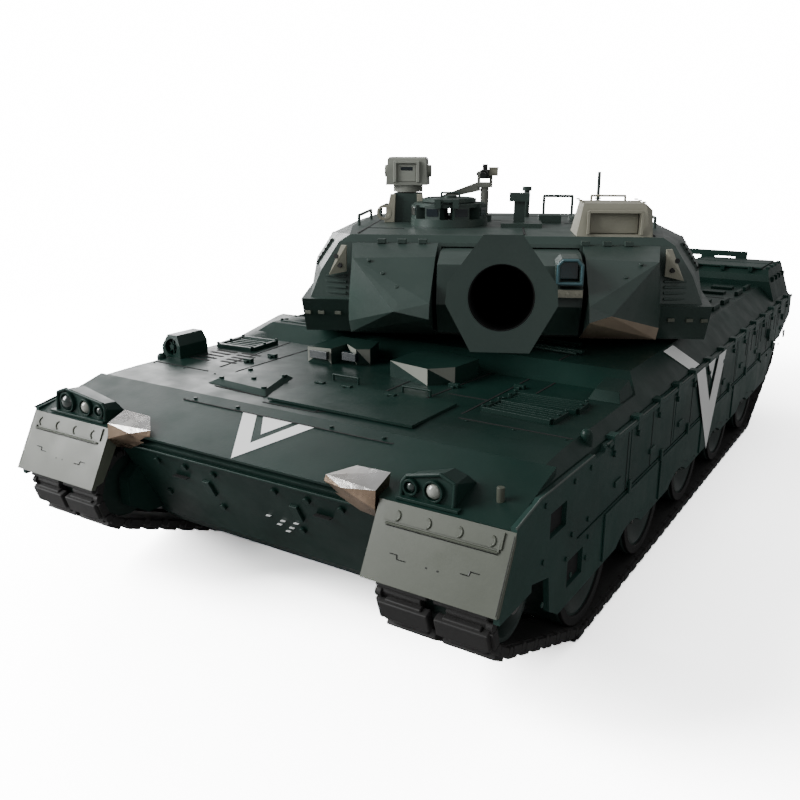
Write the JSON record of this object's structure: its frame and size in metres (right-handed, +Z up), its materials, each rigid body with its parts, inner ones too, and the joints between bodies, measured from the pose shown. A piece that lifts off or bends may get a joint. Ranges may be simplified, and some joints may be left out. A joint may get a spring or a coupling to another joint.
{
  "type": "radio-controlled tank",
  "caption": "Radio-controlled model battle tank with tracked hull, geared drive, slewing turret, spring pellet gun, turning sight, swivelling machine gun and rechargeable cell.",
  "frame": {"origin": "middle of the whole tank's bounding box, at the ground under the tracks", "axes": "+X to the tank's own left, +Y to its rear, +Z up; the turret rests turned 25.85 degrees to the left"},
  "size_m": [0.1628, 0.3272, 0.1056],
  "materials": {
    "hull_plastic": "satin moulded",
    "turret_plastic": "satin moulded",
    "flap_plastic": "matt",
    "detail_plastic": "matt",
    "wheel_plastic": "satin moulded",
    "gear_plastic": "smooth",
    "track_rubber": "moulded pads",
    "lamp_chrome": "vacuum plated",
    "lamp_lens": "clear domed",
    "steel": "plain",
    "motor_case": "plain",
    "cell_sleeve": "shrink sleeve",
    "lead": "insulated wire",
    "plug": "moulded",
    "board": "printed board",
    "black_plastic": "smooth"
  },
  "bodies": {
    "hull": {"lower_hull": "hull_plastic", "upper_hull": "hull_plastic", "side_skirt_left": "hull_plastic", "side_skirt_right": "hull_plastic", "mud_flap_left": "flap_plastic", "mud_flap_right": "flap_plastic", "headlight_housings": "hull_plastic", "headlight_lenses": "lamp_lens", "corner_lamp_covers": "lamp_chrome", "driver_hatch": "hull_plastic", "fan_housing": "hull_plastic", "engine_deck": "hull_plastic", "rear_fittings": "hull_plastic", "battery_cell": "cell_sleeve", "battery_lead": "lead", "battery_plug": "plug", "circuit_board": "board", "drive_motors": "motor_case", "turret_motor": "motor_case", "battery_door": "hull_plastic", "hull_screws": "steel", "track_left": "track_rubber", "track_right": "track_rubber", "wheel_axles": "steel"},
    "turret": {"turret_base": "turret_plastic", "turret_shell": "turret_plastic", "turret_cheeks": "turret_plastic", "gun_mantlet": "turret_plastic", "gun_barrel": "turret_plastic", "firing_unit": "black_plastic", "firing_spring": "steel", "gunner_sight": "detail_plastic", "turret_basket": "turret_plastic", "smoke_launchers": "detail_plastic", "commander_cupola": "turret_plastic"},
    "power_switch": {"power_switch": "black_plastic"},
    "drive_sprocket_left": {"drive_sprocket_left": "wheel_plastic"},
    "idler_wheel_left": {"idler_wheel_left": "wheel_plastic"},
    "road_wheel_left_1": {"road_wheel_left_1": "wheel_plastic"},
    "road_wheel_left_2": {"road_wheel_left_2": "wheel_plastic"},
    "road_wheel_left_3": {"road_wheel_left_3": "wheel_plastic"},
    "road_wheel_left_4": {"road_wheel_left_4": "wheel_plastic"},
    "road_wheel_left_5": {"road_wheel_left_5": "wheel_plastic"},
    "reduction_gear_left": {"reduction_gear_left": "gear_plastic"},
    "motor_pinion_left": {"motor_pinion_left": "gear_plastic"},
    "drive_sprocket_right": {"drive_sprocket_right": "wheel_plastic"},
    "idler_wheel_right": {"idler_wheel_right": "wheel_plastic"},
    "road_wheel_right_1": {"road_wheel_right_1": "wheel_plastic"},
    "road_wheel_right_2": {"road_wheel_right_2": "wheel_plastic"},
    "road_wheel_right_3": {"road_wheel_right_3": "wheel_plastic"},
    "road_wheel_right_4": {"road_wheel_right_4": "wheel_plastic"},
    "road_wheel_right_5": {"road_wheel_right_5": "wheel_plastic"},
    "reduction_gear_right": {"reduction_gear_right": "gear_plastic"},
    "motor_pinion_right": {"motor_pinion_right": "gear_plastic"},
    "slewing_pinion": {"slewing_pinion": "gear_plastic"},
    "firing_piston": {"firing_piston": "gear_plastic"},
    "loading_hatch": {"loading_hatch": "turret_plastic"},
    "panoramic_sight": {"panoramic_sight": "turret_plastic"},
    "machine_gun_mount": {"machine_gun_mount": "turret_plastic"},
    "machine_gun": {"machine_gun": "detail_plastic"}
  },
  "joints": [
    {"name": "switch_slide", "type": "slide", "parent": "hull", "child": "power_switch", "axis": [0, 1, 0], "range_m": [0, 0.005]},
    {"name": "drive_sprocket_left_spin", "type": "hinge", "parent": "hull", "child": "drive_sprocket_left", "pos_m": [0.04705, 0.13259, 0.029], "axis": [1, 0, 0], "continuous": true},
    {"name": "idler_wheel_left_spin", "type": "hinge", "parent": "hull", "child": "idler_wheel_left", "pos_m": [0.04705, -0.11631, 0.027], "axis": [1, 0, 0], "continuous": true},
    {"name": "road_wheel_left_1_spin", "type": "hinge", "parent": "hull", "child": "road_wheel_left_1", "pos_m": [0.04705, -0.07741, 0.0182], "axis": [1, 0, 0], "continuous": true},
    {"name": "road_wheel_left_2_spin", "type": "hinge", "parent": "hull", "child": "road_wheel_left_2", "pos_m": [0.04705, -0.03481, 0.0182], "axis": [1, 0, 0], "continuous": true},
    {"name": "road_wheel_left_3_spin", "type": "hinge", "parent": "hull", "child": "road_wheel_left_3", "pos_m": [0.04705, 0.00779, 0.0182], "axis": [1, 0, 0], "continuous": true},
    {"name": "road_wheel_left_4_spin", "type": "hinge", "parent": "hull", "child": "road_wheel_left_4", "pos_m": [0.04705, 0.0504, 0.0182], "axis": [1, 0, 0], "continuous": true},
    {"name": "road_wheel_left_5_spin", "type": "hinge", "parent": "hull", "child": "road_wheel_left_5", "pos_m": [0.04705, 0.09299, 0.0182], "axis": [1, 0, 0], "continuous": true},
    {"name": "reduction_gear_left_spin", "type": "hinge", "parent": "hull", "child": "reduction_gear_left", "pos_m": [0.02705, 0.12101, 0.02589], "axis": [1, 0, 0], "continuous": true},
    {"name": "motor_pinion_left_spin", "type": "hinge", "parent": "hull", "child": "motor_pinion_left", "pos_m": [0.02405, 0.10919, 0.02381], "axis": [1, 0, 0], "continuous": true},
    {"name": "drive_sprocket_right_spin", "type": "hinge", "parent": "hull", "child": "drive_sprocket_right", "pos_m": [-0.05895, 0.13259, 0.029], "axis": [1, 0, 0], "continuous": true},
    {"name": "idler_wheel_right_spin", "type": "hinge", "parent": "hull", "child": "idler_wheel_right", "pos_m": [-0.05895, -0.11631, 0.027], "axis": [1, 0, 0], "continuous": true},
    {"name": "road_wheel_right_1_spin", "type": "hinge", "parent": "hull", "child": "road_wheel_right_1", "pos_m": [-0.05895, -0.07741, 0.0182], "axis": [1, 0, 0], "continuous": true},
    {"name": "road_wheel_right_2_spin", "type": "hinge", "parent": "hull", "child": "road_wheel_right_2", "pos_m": [-0.05895, -0.03481, 0.0182], "axis": [1, 0, 0], "continuous": true},
    {"name": "road_wheel_right_3_spin", "type": "hinge", "parent": "hull", "child": "road_wheel_right_3", "pos_m": [-0.05895, 0.00779, 0.0182], "axis": [1, 0, 0], "continuous": true},
    {"name": "road_wheel_right_4_spin", "type": "hinge", "parent": "hull", "child": "road_wheel_right_4", "pos_m": [-0.05895, 0.0504, 0.0182], "axis": [1, 0, 0], "continuous": true},
    {"name": "road_wheel_right_5_spin", "type": "hinge", "parent": "hull", "child": "road_wheel_right_5", "pos_m": [-0.05895, 0.09299, 0.0182], "axis": [1, 0, 0], "continuous": true},
    {"name": "reduction_gear_right_spin", "type": "hinge", "parent": "hull", "child": "reduction_gear_right", "pos_m": [-0.03895, 0.12101, 0.02589], "axis": [1, 0, 0], "continuous": true},
    {"name": "motor_pinion_right_spin", "type": "hinge", "parent": "hull", "child": "motor_pinion_right", "pos_m": [-0.03595, 0.10919, 0.02381], "axis": [1, 0, 0], "continuous": true},
    {"name": "turret_yaw", "type": "hinge", "parent": "hull", "child": "turret", "pos_m": [-0.00595, 0.0076, 0.056], "axis": [0, 0, 1], "range_deg": [-185.85, 134.15]},
    {"name": "slewing_pinion_spin", "type": "hinge", "parent": "hull", "child": "slewing_pinion", "pos_m": [-0.03395, -0.01341, 0.0468], "axis": [0, 0, 1], "range_deg": [-805.5, 1115.7]},
    {"name": "piston_slide", "type": "slide", "parent": "turret", "child": "firing_piston", "axis": [0.4322, -0.892, 0.1323], "range_m": [-0.02, 0], "stiffness_N_per_m": 60, "springref_m": 0.012, "deforming": ["firing_spring"]},
    {"name": "loading_hatch_hinge", "type": "hinge", "parent": "turret", "child": "loading_hatch", "pos_m": [-0.01783, -0.00916, 0.09235], "axis": [0.8999, 0.436, 0], "range_deg": [0, 100]},
    {"name": "panoramic_sight_yaw", "type": "hinge", "parent": "turret", "child": "panoramic_sight", "pos_m": [-0.04219, 0.00671, 0.095], "axis": [0, 0, 1], "continuous": true},
    {"name": "machine_gun_yaw", "type": "hinge", "parent": "turret", "child": "machine_gun_mount", "pos_m": [-0.02097, 0.02254, 0.095], "axis": [0, 0, 1], "range_deg": [0, 30]},
    {"name": "machine_gun_pitch", "type": "hinge", "parent": "machine_gun_mount", "child": "machine_gun", "pos_m": [-0.02097, 0.02254, 0.0999], "axis": [0.8999, 0.436, 0], "range_deg": [-20, 10]}
  ],
  "couplings": [
    {"joint": "idler_wheel_left_spin", "follows": "drive_sprocket_left_spin", "ratio": 1.2048},
    {"joint": "road_wheel_left_1_spin", "follows": "drive_sprocket_left_spin", "ratio": 0.67114},
    {"joint": "road_wheel_left_2_spin", "follows": "drive_sprocket_left_spin", "ratio": 0.67114},
    {"joint": "road_wheel_left_3_spin", "follows": "drive_sprocket_left_spin", "ratio": 0.67114},
    {"joint": "road_wheel_left_4_spin", "follows": "drive_sprocket_left_spin", "ratio": 0.67114},
    {"joint": "road_wheel_left_5_spin", "follows": "drive_sprocket_left_spin", "ratio": 0.67114},
    {"joint": "reduction_gear_left_spin", "follows": "drive_sprocket_left_spin", "ratio": -3},
    {"joint": "motor_pinion_left_spin", "follows": "drive_sprocket_left_spin", "ratio": 9},
    {"joint": "idler_wheel_right_spin", "follows": "drive_sprocket_right_spin", "ratio": 1.2048},
    {"joint": "road_wheel_right_1_spin", "follows": "drive_sprocket_right_spin", "ratio": 0.67114},
    {"joint": "road_wheel_right_2_spin", "follows": "drive_sprocket_right_spin", "ratio": 0.67114},
    {"joint": "road_wheel_right_3_spin", "follows": "drive_sprocket_right_spin", "ratio": 0.67114},
    {"joint": "road_wheel_right_4_spin", "follows": "drive_sprocket_right_spin", "ratio": 0.67114},
    {"joint": "road_wheel_right_5_spin", "follows": "drive_sprocket_right_spin", "ratio": 0.67114},
    {"joint": "reduction_gear_right_spin", "follows": "drive_sprocket_right_spin", "ratio": -3},
    {"joint": "motor_pinion_right_spin", "follows": "drive_sprocket_right_spin", "ratio": 9},
    {"joint": "slewing_pinion_spin", "follows": "turret_yaw", "ratio": -6}
  ]
}
